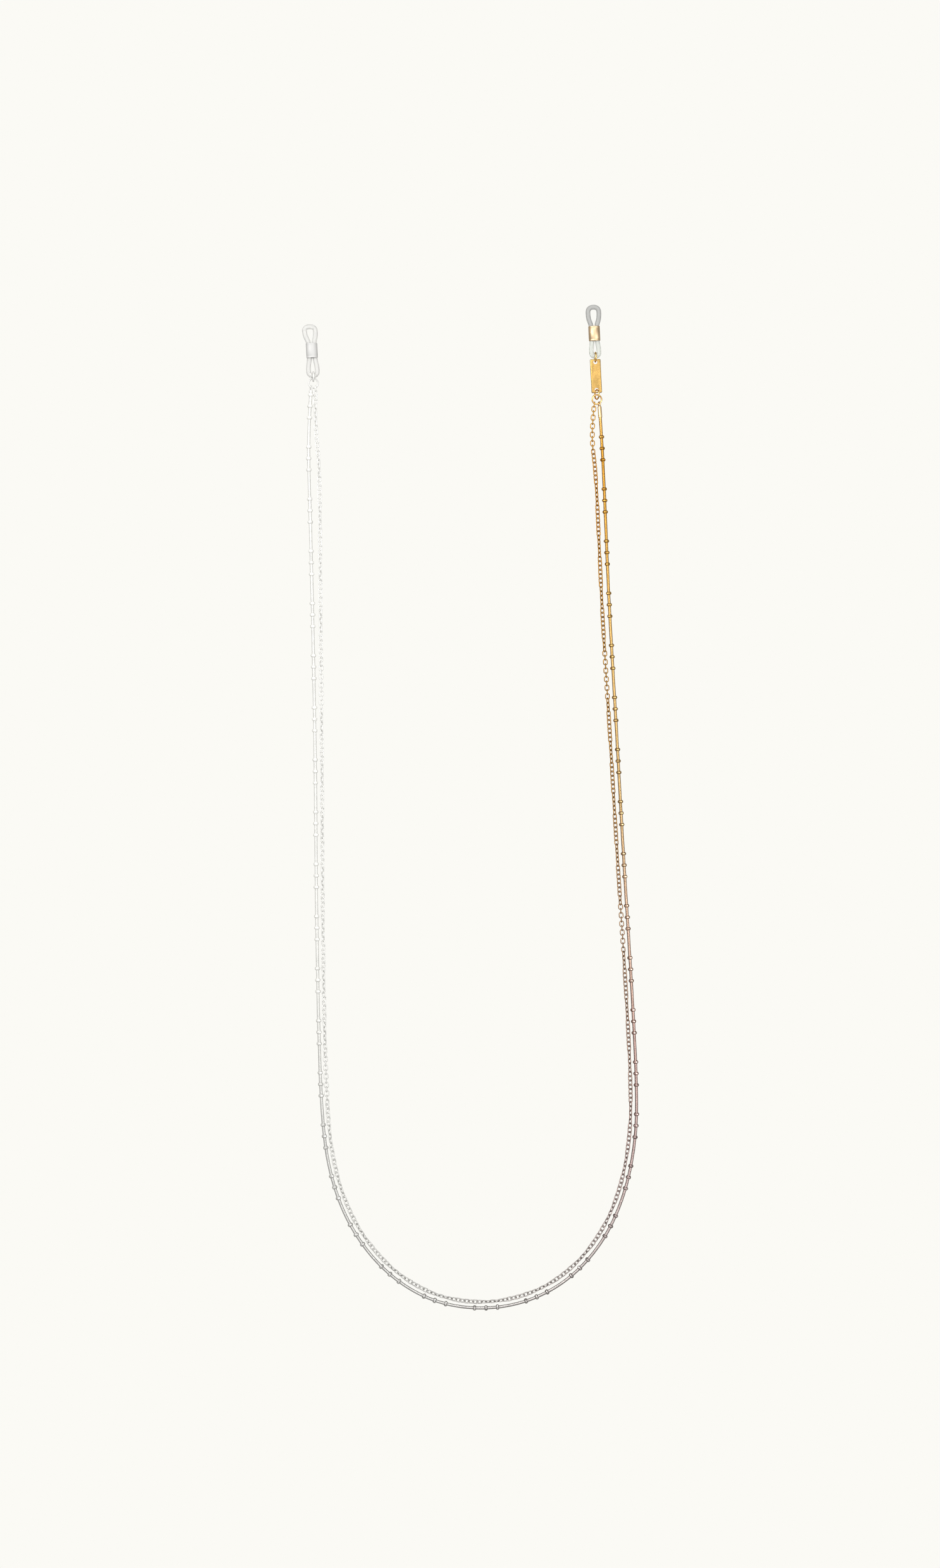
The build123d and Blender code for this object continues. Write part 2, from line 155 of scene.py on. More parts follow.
choice.inputs[7].default_value = (*PALE, 1)
wire(choice.outputs[2], background.inputs["Color"])
wire(background.outputs["Background"], sky_out.inputs["Surface"])

for i, (place, (width, length), power) in enumerate(SOFTBOXES):
    bpy.ops.object.light_add(type="AREA", location=place)
    softbox = bpy.context.object
    softbox.name = f"softbox_{i + 1}"
    softbox.data.shape = "RECTANGLE"
    softbox.data.size, softbox.data.size_y = width, length
    softbox.data.energy = power
    softbox.rotation_euler = (-Vector(place)).to_track_quat("-Z", "Y").to_euler()
    softbox.visible_camera = False

# --- The lines of the two strands ----------------------------------------------------------------
# Both chains hang side by side from the same two rings, and lie in one long U that is a little
# slack: each follows its own smooth line, which the pieces below are strung along.
STRAND_Z = 0.875                           # height of both chains' middle, in millimetres
CABLE_ROUTE = [
    (39.75, 130.2), (38.6, 120.5), (40.2, 108.0), (41.1, 88.0), (42.4, 60.0), (44.6, 26.0),
    (47.1, -16.0), (49.9, -58.0), (51.5, -89.0), (51.3, -105.6), (48.1, -123.2),
    (41.2, -138.5), (30.0, -150.8), (16.1, -157.8), (0.6, -159.6), (-14.5, -156.1),
    (-28.0, -146.6), (-38.0, -133.0), (-43.8, -117.1), (-46.3, -98.9), (-47.35, -64.0),
    (-47.8, -24.0), (-48.0, 18.0), (-48.4, 60.0), (-48.6, 92.0), (-48.8, 111.0),
    (-50.3, 124.5), (-50.0, 135.35),
]
SNAKE_ROUTE = [
    (41.3, 130.2), (42.1, 119.0), (43.0, 101.0), (44.4, 66.0), (46.8, 26.0), (49.1, -16.0),
    (51.8, -58.0), (53.4, -89.0), (53.2, -106.0), (49.8, -124.0), (42.6, -140.0),
    (31.0, -152.6), (16.6, -159.8), (0.6, -161.6), (-15.2, -158.0), (-29.2, -148.2),
    (-39.6, -134.0), (-45.6, -117.6), (-48.1, -99.0), (-49.2, -64.0), (-49.8, -24.0),
    (-50.1, 18.0), (-50.9, 60.0), (-51.8, 97.0), (-52.5, 120.0), (-51.4, 135.35),
]
POINTS_A_SPAN = 48                         # points read from the spline in each of its spans
HEADING_STEP = 0.0002                      # how far before and behind a point its heading is read
NEAR_A_FOLD = 0.012                        # a hinge line crosses its own strand within this
RUNS = 10                                  # stiff runs that the strap is parted into


def strand_line(route):
    """The points of the smooth line with these control points, in metres."""
    curve = bpy.data.curves.new("strand", "CURVE")
    curve.dimensions = "3D"
    spline = curve.splines.new("NURBS")
    spline.points.add(len(route) - 1)
    for point, (x, y) in zip(spline.points, route):
        point.co = (x / 1000, y / 1000, STRAND_Z / 1000, 1)
    spline.order_u = 3
    spline.use_endpoint_u = True
    curve.resolution_u = POINTS_A_SPAN
    spline.resolution_u = POINTS_A_SPAN
    holder = bpy.data.objects.new("strand", curve)
    scene.collection.objects.link(holder)
    bpy.context.view_layer.update()
    mesh = bpy.data.meshes.new_from_object(holder)
    line = np.array([v.co for v in mesh.vertices], float)
    bpy.data.meshes.remove(mesh)
    bpy.data.objects.remove(holder)
    return line


def reach_of(line):
    """The distance along a line of each of its points."""
    return np.concatenate([[0.0], np.cumsum(np.linalg.norm(np.diff(line, axis=0), axis=1))])


def points_at(line, distances):
    """The points of a line at these distances along it."""
    reach = reach_of(line)
    return np.stack([np.interp(distances, reach, line[:, i]) for i in range(3)], axis=1)


def headings_at(line, distances):
    """The directions in which a line runs at these distances."""
    ahead = points_at(line, distances + HEADING_STEP) - points_at(line, distances - HEADING_STEP)
    return ahead / np.linalg.norm(ahead, axis=1)[:, None]


def fold_distances(line):
    """How far along a strand each fold's hinge line crosses it, from the right end on."""
    reach, found = reach_of(line), []
    for first in range(1, RUNS):
        fold = next(j for j in frame["joints"] if j["name"] == f"fold_{first}_{first + 1}")
        pivot, axis = np.array(fold["pos_m"][:2]), np.array(fold["axis"][:2])
        across = np.array([-axis[1], axis[0]])
        near = np.linalg.norm(line[:, :2] - pivot, axis=1) < NEAR_A_FOLD
        side = (line[near, :2] - pivot) @ across
        if side[0] > side[-1]:
            side = -side
        found.append(float(np.interp(0.0, side, reach[near])))
    return found


cable_line = strand_line(CABLE_ROUTE)
snake_line = strand_line(SNAKE_ROUTE)
cable_length = float(reach_of(cable_line)[-1])
snake_length = float(reach_of(snake_line)[-1])
cable_folds = fold_distances(cable_line)
snake_folds = fold_distances(snake_line)

# --- Cable chain ---------------------------------------------------------------------------------
# Fine brass cable chain, plated: oval links of round wire, each soldered shut and hung through the
# last. It twists as it lies, so that some links show their broad side and some their edge.
LINK_LENGTH = 2.12
LINK_WIDTH = 1.57
LINK_WIRE = 0.36
RING_WIRE = 0.5
RING_PLAY = 0.05
LINK_LEAN = 31.0
TWIST_LINKS = 12
BROAD_LINKS = 7
SQUARE_TURN = 80.0                         # links that meet at more degrees turn on one wire
SQUARE_STRETCHES = ((1.5, 14.5), (80.0, 95.0), (161.0, 175.0), (407.0, 420.0), (532.0, 546.0))
LINKS_IN_RUN = (55, 48, 48, 48, 36, 33, 48, 48, 51, 45)
LINK_AT = (LINK_LENGTH - LINK_WIRE) / 2 - (RING_WIRE + LINK_WIRE) / 2 - RING_PLAY
LINK_PITCH = (cable_length * 1000 - 2 * LINK_AT) / (sum(LINKS_IN_RUN) - 1)
LINK_BENDS, LINK_SIDES = 12, 5             # wire lengths round a link, and faces round its wire

# The plating fades along the strap, from yellow gold at the tag's end to white silver at the other.
CABLE_PLATING = (                          # share of the way along, and colour
    (0.00, (0.62, 0.350, 0.070)),
    (0.04, (0.51, 0.230, 0.025)),
    (0.12, (0.44, 0.225, 0.035)),
    (0.20, (0.43, 0.230, 0.065)),
    (0.26, (0.40, 0.250, 0.140)),
    (0.32, (0.37, 0.250, 0.190)),
    (0.38, (0.39, 0.285, 0.260)),
    (0.44, (0.42, 0.370, 0.350)),
    (0.52, (0.58, 0.570, 0.545)),
    (0.62, (0.68, 0.675, 0.645)),
    (0.75, (0.73, 0.725, 0.695)),
    (1.00, (0.80, 0.795, 0.765)),
)
LACQUER_STARTS, LACQUER_WHOLE = 0.50, 0.70   # shares of the way along, on its silver end
LACQUERED_METALLIC = 0.12
NOISE_LOW, NOISE_HIGH = 0.3, 0.7           # most of a noise's values lie between these
SPECKS_TO_A_CLOUD = 6.0                    # how much finer the specks are than the clouds


def between(a, b):
    """The angle between two links' planes, from 0 to 90 degrees."""
    turn = abs(a - b) % 180
    return min(turn, 180 - turn)


def link_rolls():
    """Each link's turn about the strand, in degrees: 0 lies flat, 90 stands on edge."""
    rolls, base, sign = [90.0], 90, 0
    for i in range(1, sum(LINKS_IN_RUN)):
        s = LINK_AT + i * LINK_PITCH
        square = any(low < s < high for low, high in SQUARE_STRETCHES)
        if square or sign == 0:
            new_base = 90 - base
        else:
            new_base = 0 if i % TWIST_LINKS < BROAD_LINKS else 90
        if square:
            sign = 0
        elif sign == 0:
            sign = 1
        elif new_base == base:
            sign = -sign
        base = new_base
        rolls.append(base + sign * LINK_LEAN)
    before = rolls[-2]
    choices = (90.0, 90.0 + LINK_LEAN, 90.0 - LINK_LEAN)
    rolls[-1] = max(choices, key=lambda r: min(between(r, before), between(r, 0)))
    return rolls


def link_distances(rolls):
    """How far along the strand each link's middle is, with every fold at its hinge."""
    reach = (LINK_LENGTH - LINK_WIRE) / 2
    even = LINK_AT + LINK_PITCH * np.arange(len(rolls))
    hinges, last = [0.0], -1
    for count in LINKS_IN_RUN[:-1]:
        last += count
        here, there = rolls[last], rolls[last + 1]
        if between(here, there) < SQUARE_TURN:
            hinges.append(even[last] + LINK_PITCH / 2)
        elif between(here, 0) <= between(there, 0):
            hinges.append(even[last] + reach)
        else:
            hinges.append(even[last + 1] - reach)
    hinges.append(cable_length * 1000)
    return np.interp(even, hinges, [0.0, *(1000 * s for s in cable_folds), 1000 * cable_length])


def select_only(piece):
    """Makes a piece the active one and the only one that is selected."""
    bpy.ops.object.select_all(action="DESELECT")
    piece.select_set(True)
    bpy.context.view_layer.objects.active = piece


def finish_at_origin(piece, place):
    """Sets a piece that was modelled in millimetres in its place, with its object unmoved."""
    select_only(piece)
    bpy.ops.object.transform_apply(location=True, rotation=True, scale=True)
    piece.data.transform(place @ Matrix.Scale(0.001, 4))
    piece.data.update()


def place_on(line, distance, backwards=False):
    """The place at a distance along a line, with X along the line and Z up."""
    spot = points_at(line, np.array([distance]))[0]
    ahead = headings_at(line, np.array([distance]))[0]
    if backwards:
        ahead = -ahead
    turn = Matrix.Rotation(math.atan2(ahead[1], ahead[0]), 4, "Z")
    return Matrix.Translation(spot) @ turn


def string_up(name, model, line, length, distances, rolls):
    """One mesh of copies of a small model, which is in millimetres with its length along X, at
    these distances in metres along a line. Its attribute "along" says how far along each is."""
    shape = np.array([v.co for v in model.data.vertices], float) / 1000
    faces = [list(f.vertices) for f in model.data.polygons]
    spots, ahead = points_at(line, distances), headings_at(line, distances)
    vertices, polygons, along = [], [], []
    for spot, x_axis, roll, s in zip(spots, ahead, np.radians(rolls), distances):
        level = np.array([-x_axis[1], x_axis[0], 0.0])
        up = np.array([0.0, 0.0, 1.0])
        y_axis = math.cos(roll) * level + math.sin(roll) * up
        z_axis = math.cos(roll) * up - math.sin(roll) * level
        start = len(vertices) * len(shape)
        vertices.append(spot + shape @ np.array([x_axis, y_axis, z_axis]))
        polygons += [[start + v for v in face] for face in faces]
        along.append(np.full(len(shape), s / length))
    mesh = bpy.data.meshes.new(name)
    mesh.from_pydata(np.vstack(vertices).tolist(), [], polygons)
    mesh.attributes.new("along", "FLOAT", "POINT").data.foreach_set("value", np.hstack(along))
    mesh.shade_smooth()
    piece = bpy.data.objects.new(name, mesh)
    scene.collection.objects.link(piece)
    return piece


def draw_apart(piece, axis, by):
    """Moves the two halves of a mesh apart along an axis, each by this much."""
    for side in (-1, 1):
        bpy.ops.object.mode_set(mode="EDIT")
        bpy.ops.mesh.select_all(action="DESELECT")
        bpy.ops.object.mode_set(mode="OBJECT")
        for vertex in piece.data.vertices:
            vertex.select = side * vertex.co[axis] > 0
        move = [0.0, 0.0, 0.0]
        move[axis] = side * by
        bpy.ops.object.mode_set(mode="EDIT")
        bpy.ops.transform.translate(value=move)
        bpy.ops.object.mode_set(mode="OBJECT")


def link_model():
    """One oval link, lying flat: a ring of wire that is parted in its middle and drawn out."""
    half_turn = math.pi / LINK_BENDS
    radius = (LINK_WIDTH - LINK_WIRE) / 2 / math.cos(half_turn)
    bpy.ops.object.select_all(action="DESELECT")
    bpy.ops.mesh.primitive_torus_add(
        major_segments=LINK_BENDS, minor_segments=LINK_SIDES, major_radius=radius,
        minor_radius=LINK_WIRE / 2, rotation=(0, 0, half_turn + math.pi / 2))
    model = bpy.context.object
    bpy.ops.object.transform_apply(location=True, rotation=True, scale=True)
    draw_apart(model, 0, (LINK_LENGTH - LINK_WIDTH) / 2)
    return model


def plating_detail():
    """Shader group: the small unevenness of plated metal, as a shade, a roughness and a height."""
    group = bpy.data.node_groups.new("plating_detail", "ShaderNodeTree")
    face = group.interface
    for name in ("Grain", "Unevenness", "Smoothest", "Roughest"):
        face.new_socket(name, in_out="INPUT", socket_type="NodeSocketFloat")
    face.new_socket("Stretch", in_out="INPUT", socket_type="NodeSocketVector")
    for name in ("Shade", "Roughness", "Height"):
        face.new_socket(name, in_out="OUTPUT", socket_type="NodeSocketFloat")
    nodes, link = group.nodes, group.links.new
    inside, outside = nodes.new("NodeGroupInput"), nodes.new("NodeGroupOutput")
    where = nodes.new("ShaderNodeTexCoord")
    cloud, speck = nodes.new("ShaderNodeTexNoise"), nodes.new("ShaderNodeTexNoise")
    cloud.inputs["Detail"].default_value = 4.0
    speck.inputs["Detail"].default_value = 2.0
    finer = nodes.new("ShaderNodeMath")
    finer.operation = "MULTIPLY"
    finer.inputs[1].default_value = SPECKS_TO_A_CLOUD
    link(inside.outputs["Grain"], cloud.inputs["Scale"])
    link(inside.outputs["Grain"], finer.inputs[0])
    link(finer.outputs[0], speck.inputs["Scale"])
    drawn = nodes.new("ShaderNodeVectorMath")
    drawn.operation = "MULTIPLY"
    link(where.outputs["Object"], drawn.inputs[0])
    link(inside.outputs["Stretch"], drawn.inputs[1])
    for noise in (cloud, speck):
        link(drawn.outputs["Vector"], noise.inputs["Vector"])
    shade = nodes.new("ShaderNodeMapRange")
    darkest = nodes.new("ShaderNodeMath")
    darkest.operation = "SUBTRACT"
    darkest.inputs[0].default_value = 1.0
    link(inside.outputs["Unevenness"], darkest.inputs[1])
    shade.inputs["From Min"].default_value = NOISE_LOW
    shade.inputs["From Max"].default_value = NOISE_HIGH
    link(cloud.outputs["Fac"], shade.inputs["Value"])
    link(darkest.outputs[0], shade.inputs["To Min"])
    rough = nodes.new("ShaderNodeMapRange")
    rough.inputs["From Min"].default_value = NOISE_LOW
    rough.inputs["From Max"].default_value = NOISE_HIGH
    link(speck.outputs["Fac"], rough.inputs["Value"])
    link(inside.outputs["Smoothest"], rough.inputs["To Min"])
    link(inside.outputs["Roughest"], rough.inputs["To Max"])
    link(shade.outputs["Result"], outside.inputs["Shade"])
    link(rough.outputs["Result"], outside.inputs["Roughness"])
    link(speck.outputs["Fac"], outside.inputs["Height"])
    return group


detail_group = plating_detail()


def plated_metal(name, colours, grain, unevenness, smoothest, roughest, bump,
                 stretch=(1.0, 1.0, 1.0), metallic=1.0):
    """Plated metal. With several colours it fades from one to the next along the strap, and its
    silver end is duller, under a white lacquer."""
    material = bpy.data.materials.new(name)
    material.use_nodes = True
    nodes, link = material.node_tree.nodes, material.node_tree.links.new
    shader = nodes["Principled BSDF"]
    shader.inputs["Metallic"].default_value = metallic
    detail = nodes.new("ShaderNodeGroup")
    detail.node_tree = detail_group
    for socket, value in (("Grain", grain), ("Unevenness", unevenness),
                          ("Smoothest", smoothest), ("Roughest", roughest), ("Stretch", stretch)):
        detail.inputs[socket].default_value = value
    tint = nodes.new("ShaderNodeVectorMath")
    tint.operation = "SCALE"
    if len(colours) > 1:
        along = nodes.new("ShaderNodeAttribute")
        along.attribute_name = "along"
        fade = nodes.new("ShaderNodeValToRGB")
        for i, (place, colour) in enumerate(colours):
            stops = fade.color_ramp.elements
            stop = stops[i] if i < 2 else stops.new(place)
            stop.position = place
            stop.color = (*colour, 1)
        link(along.outputs["Fac"], fade.inputs["Fac"])
        link(fade.outputs["Color"], tint.inputs[0])
        lacquer = nodes.new("ShaderNodeMapRange")
        lacquer.inputs["From Min"].default_value = LACQUER_STARTS
        lacquer.inputs["From Max"].default_value = LACQUER_WHOLE
        lacquer.inputs["To Min"].default_value = 1.0
        lacquer.inputs["To Max"].default_value = LACQUERED_METALLIC
        link(along.outputs["Fac"], lacquer.inputs["Value"])
        link(lacquer.outputs["Result"], shader.inputs["Metallic"])
    else:
        tint.inputs[0].default_value = colours[0][1]
    link(detail.outputs["Shade"], tint.inputs["Scale"])
    link(tint.outputs["Vector"], shader.inputs["Base Color"])
    link(detail.outputs["Roughness"], shader.inputs["Roughness"])
    relief = nodes.new("ShaderNodeBump")
    relief.inputs["Strength"].default_value = bump
    relief.inputs["Distance"].default_value = 0.00002
    link(detail.outputs["Height"], relief.inputs["Height"])
    link(relief.outputs["Normal"], shader.inputs["Normal"])
    return material


link = link_model()
rolls = link_rolls()
link_places = link_distances(rolls) / 1000
cable_plating = plated_metal("cable_plating", CABLE_PLATING, 700.0, 0.18, 0.34, 0.50, 0.25)
first = 0
for run, count in enumerate(LINKS_IN_RUN, start=1):
    piece = string_up(f"cable_links_{run:02d}", link, cable_line, cable_length,
                      link_places[first:first + count], rolls[first:first + count])
    piece.data.materials.append(cable_plating)
    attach(piece, f"run_{run:02d}")
    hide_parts(f"cable_run_{run:02d}")
    first += count
bpy.data.objects.remove(link)

# --- Ring beads on the snake chain ---------------------------------------------------------------
# Short turned brass rings, crimped on the snake chain in groups of three. Their rims are turned
# down at a slant, so that from above each shows a bright middle band between two darker sides.
BEAD_OD = 1.75
BEAD_BORE = 1.02
BEAD_LENGTH = 1.0
BEAD_BAND = 0.36                           # length of the flat band round a bead's middle
BEAD_RIM_OD = 1.34
BEAD_SIDES = 12
BEADS_IN_GROUP = 3
BEAD_STEP = 3.7
SNAKE_PLATING = (                          # the same fade on the snake chain and its beads
    (0.00, (0.70, 0.420, 0.140)),
    (0.025, (0.46, 0.220, 0.030)),
    (0.06, (0.47, 0.250, 0.050)),
    (0.12, (0.52, 0.330, 0.120)),
    (0.20, (0.44, 0.290, 0.130)),
    (0.26, (0.45, 0.310, 0.230)),
    (0.32, (0.37, 0.250, 0.220)),
    (0.38, (0.35, 0.265, 0.250)),
    (0.44, (0.37, 0.335, 0.320)),
    (0.52, (0.50, 0.490, 0.470)),
    (0.62, (0.46, 0.455, 0.435)),
    (0.68, (0.57, 0.565, 0.535)),
    (0.75, (0.62, 0.615, 0.585)),
    (1.00, (0.64, 0.635, 0.605)),
)
GROUPS_IN_RUN = (4, 4, 4, 4, 3, 3, 4, 4, 4, 4)
FIRST_BEAD = 10.8
LAST_BEAD = 2.35


def turned(name, profile, sides):
    """A solid turned about X from steps of distance and radius, drawn out ring by ring. Where the
    last step is the first one again, it is hollow right through."""
    (x, radius), hollow = profile[0], profile[0] == profile[-1]
    bpy.ops.object.select_all(action="DESELECT")
    bpy.ops.mesh.primitive_circle_add(
        vertices=sides, radius=radius, fill_type="NOTHING" if hollow else "NGON",
        location=(x, 0, 0), rotation=(0, math.pi / 2, 0))
    piece = bpy.context.object
    piece.name = name
    bpy.ops.object.transform_apply(location=True, rotation=True, scale=True)
    bpy.ops.object.mode_set(mode="EDIT")
    for (x0, r0), (x1, r1) in zip(profile, profile[1:]):
        if hollow:
            bpy.ops.mesh.extrude_edges_move(TRANSFORM_OT_translate={"value": (x1 - x0, 0, 0)})
        else:
            bpy.ops.mesh.extrude_region_move(TRANSFORM_OT_translate={"value": (x1 - x0, 0, 0)})
        bpy.ops.transform.resize(value=(1, r1 / r0, r1 / r0), center_override=(x1, 0, 0))
    bpy.ops.mesh.select_all(action="SELECT")
    bpy.ops.mesh.remove_doubles(threshold=0.001)
    bpy.ops.mesh.normals_make_consistent(inside=False)
    bpy.ops.object.mode_set(mode="OBJECT")
    return piece


half = BEAD_LENGTH / 2
bead = turned("bead", (
    (-half, BEAD_BORE / 2), (-half, BEAD_RIM_OD / 2), (-BEAD_BAND / 2, BEAD_OD / 2),
    (BEAD_BAND / 2, BEAD_OD / 2), (half, BEAD_RIM_OD / 2), (half, BEAD_BORE / 2),
    (-half, BEAD_BORE / 2)), BEAD_SIDES)
groups = sum(GROUPS_IN_RUN)
group_length = (BEADS_IN_GROUP - 1) * BEAD_STEP
group_step = (snake_length * 1000 - FIRST_BEAD - LAST_BEAD - group_length) / (groups - 1)
BEAD_BRIGHTNESS = 1.25                     # a bead's plating against the chain's
bead_colours = tuple((place, tuple(BEAD_BRIGHTNESS * c for c in colour))
                     for place, colour in SNAKE_PLATING)
bead_plating = plated_metal("bead_plating", bead_colours, 500.0, 0.14, 0.20, 0.34, 0.2)
bead_pieces, mid_beads = [], []
group = 0
for run, count in enumerate(GROUPS_IN_RUN, start=1):
    starts = FIRST_BEAD + group_step * np.arange(group, group + count)
    places = (starts[:, None] + BEAD_STEP * np.arange(BEADS_IN_GROUP)).ravel() / 1000
    piece = string_up(f"ring_beads_{run:02d}", bead, snake_line, snake_length, places,
                      360 * np.random.default_rng(run).random(len(places)))
    select_only(piece)
    bpy.ops.object.shade_smooth_by_angle(angle=math.radians(30))
    piece.data.materials.append(bead_plating)
    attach(piece, f"run_{run:02d}")
    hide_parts(f"bead_run_{run:02d}")
    bead_pieces.append(piece)
    mid_beads.append(float(places[2 * BEADS_IN_GROUP - 1]))
    group += count
bpy.data.objects.remove(bead)

# --- Snake chain ---------------------------------------------------------------------------------
# Round snake chain: a tight tube of small curved brass plates, plated like the rest. It flexes
# everywhere, and each length of it reaches across the fold between two runs. The joins of the
# lengths are hidden inside beads.
SNAKE_OD = 1.0
SNAKE_GROOVE_OD = 0.91
PLATE_PITCH = 0.36
PLATE_WAVE = 0.05                          # how far a plate's edge waves along the chain
PLATE_STEPS = ((0.0, SNAKE_GROOVE_OD), (0.28, SNAKE_OD), (0.72, SNAKE_OD))
SNAKE_SIDES = 16
SNAKE_START = 1.22                         # past the end of its line, inside the end cap


def snake_length_piece(name, low, high):
    """The snake chain between two distances along its line, in metres."""
    plates = max(1, round((high - low) * 1000 / PLATE_PITCH))
    pitch = (high - low) / plates
    steps = [(low + (plate + share) * pitch, size / 2000)
             for plate in range(plates) for share, size in PLATE_STEPS]
    steps.append((high, SNAKE_GROOVE_OD / 2000))
    distances = np.array([s for s, _ in steps])
    radii = np.array([r for _, r in steps])
    spots, ahead = points_at(snake_line, distances), headings_at(snake_line, distances)
    level = np.stack([-ahead[:, 1], ahead[:, 0], np.zeros(len(ahead))], axis=1)
    angles = 2 * math.pi * np.arange(SNAKE_SIDES) / SNAKE_SIDES
    wave = PLATE_WAVE / 1000 * np.cos(2 * angles)
    wave = np.where((distances > low)[:, None] & (distances < high)[:, None], wave[None, :], 0.0)
    round_level = np.cos(angles)[None, :, None] * level[:, None, :]
    round_up = np.sin(angles)[None, :, None] * np.array([0.0, 0.0, 1.0])
    vertices = (spots[:, None, :] + radii[:, None, None] * (round_level + round_up)
                + wave[:, :, None] * ahead[:, None, :])
    rings, sides = len(steps), SNAKE_SIDES
    faces = [[i * sides + k, i * sides + (k + 1) % sides,
              (i + 1) * sides + (k + 1) % sides, (i + 1) * sides + k]
             for i in range(rings - 1) for k in range(sides)]
    faces.append(list(reversed(range(sides))))
    faces.append([(rings - 1) * sides + k for k in range(sides)])
    mesh = bpy.data.meshes.new(name)
    mesh.from_pydata(vertices.reshape(-1, 3).tolist(), [], faces)
    mesh.attributes.new("along", "FLOAT", "POINT").data.foreach_set(
        "value", np.repeat(distances / snake_length, sides))
    mesh.shade_smooth()
    piece = bpy.data.objects.new(name, mesh)
    scene.collection.objects.link(piece)
    return piece


snake_plating = plated_metal("snake_plating", SNAKE_PLATING, 600.0, 0.14, 0.22, 0.40, 0.2)
snake_ends = [SNAKE_START / 1000, *mid_beads[1:-1], snake_length - SNAKE_START / 1000]
for span in range(1, RUNS):
    low, high = snake_ends[span - 1], snake_ends[span]
    piece = snake_length_piece(f"snake_chain_{span:02d}", low, high)
    piece.data.materials.append(snake_plating)
    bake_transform(piece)
    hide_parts(f"snake_run_{span:02d}")
    if span == RUNS - 1:
        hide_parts(f"snake_run_{RUNS:02d}")

# --- End caps of the snake chain -----------------------------------------------------------------
# Brass cups that the snake chain is soldered into, each with an eye soldered on its closed end.
# The right one is long, and the left one is a short collar.
EYE_OD = 1.75
EYE_WIRE = 0.4
EYE_LEAN = 60.0
CAP_OD = 1.3
CAP_BORE = 1.02
CAP_END_WALL = 0.35
CAP_LENGTH = {"right": 3.7, "left": 0.85}
CAP_GROOVE = (0.30, 0.26, 0.20, 0.16)      # its two slanted sides, from the mouth
CAP_CUT = 0.04                             # depth of the groove, and size of the mouth's bevel
CAP_SIDES = 20
ROUNDING = 0.3                             # where a two-step rounded edge bends, as a share of it
GOLD = (0.85, 0.53, 0.19)
WHITE_SILVER = (0.66, 0.655, 0.63)

gold_plating = plated_metal("gold_plating", ((0, GOLD),), 450.0, 0.16, 0.12, 0.28, 0.15)
satin_gold = plated_metal("satin_gold", ((0, (0.88, 0.64, 0.34)),), 600.0, 0.14, 0.28, 0.42, 0.15)
silver_plating = plated_metal("silver_plating", ((0, WHITE_SILVER),), 450.0, 0.08, 0.40, 0.54, 0.12,
                              metallic=0.15)


def end_cap(name, length):
    """A cap with its eye, the eye's middle at the origin and the chain leaving along X."""
    eye_r = (EYE_OD - EYE_WIRE) / 2
    corner = CAP_OD / 4
    mouth = eye_r + length
    cup = turned(name, (
        (eye_r, CAP_OD / 2 - corner),
        (eye_r + ROUNDING * corner, CAP_OD / 2 - ROUNDING * corner), (eye_r + corner, CAP_OD / 2),
        (mouth - CAP_GROOVE[0], CAP_OD / 2), (mouth - CAP_GROOVE[1], CAP_OD / 2 - CAP_CUT),
        (mouth - CAP_GROOVE[2], CAP_OD / 2 - CAP_CUT), (mouth - CAP_GROOVE[3], CAP_OD / 2),
        (mouth - CAP_CUT, CAP_OD / 2), (mouth, CAP_OD / 2 - CAP_CUT), (mouth, CAP_BORE / 2),
        (eye_r + CAP_END_WALL, CAP_BORE / 2)), CAP_SIDES)
    bpy.ops.object.select_all(action="DESELECT")
    bpy.ops.mesh.primitive_torus_add(
        major_segments=28, minor_segments=10, major_radius=eye_r, minor_radius=EYE_WIRE / 2,
        rotation=(math.radians(EYE_LEAN), 0, 0))
    cup.select_set(True)
    bpy.context.view_layer.objects.active = cup
    bpy.ops.object.join()
    bpy.ops.object.shade_smooth_by_angle(angle=math.radians(40))
    return cup


eye_at = ((EYE_OD - EYE_WIRE) / 2 - (RING_WIRE + EYE_WIRE) / 2 - RING_PLAY) / 1000
for side, plating, slot, run in (("right", satin_gold, "gold", 1),
                                 ("left", silver_plating, "white_silver", RUNS)):
    piece = end_cap(f"chain_cap_{side}", CAP_LENGTH[side])
    at = eye_at if side == "right" else snake_length - eye_at
    finish_at_origin(piece, place_on(snake_line, at, backwards=side == "left"))
    piece.data.materials.append(plating)
    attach(piece, f"run_{run:02d}")
    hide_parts(f"snake_end_cap_{side}")

# --- Jump rings ----------------------------------------------------------------------------------
# Rings of round brass wire, bent shut with a fine cut left in each. The right end has three, with
# the tag between the second and the third, and the left end has two.
RING_OD = 3.5
RING_CUT = 1.6                             # degrees of the gap
LOOP_RING_LEAN = 84.0
TAG_RING_LEAN = 65.0


def cut_out(piece, cutter):
    """Cuts one mesh out of another and deletes it."""
    cut = piece.modifiers.new("cut", "BOOLEAN")
    cut.object, cut.operation, cut.solver = cutter, "DIFFERENCE", "EXACT"
    bpy.context.view_layer.objects.active = piece
    bpy.ops.object.modifier_apply(modifier=cut.name)
    bpy.data.objects.remove(cutter)


def middle_of(node):
    """The middle of a node's box, in metres."""
    low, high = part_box(node)
    return (low + high) / 2


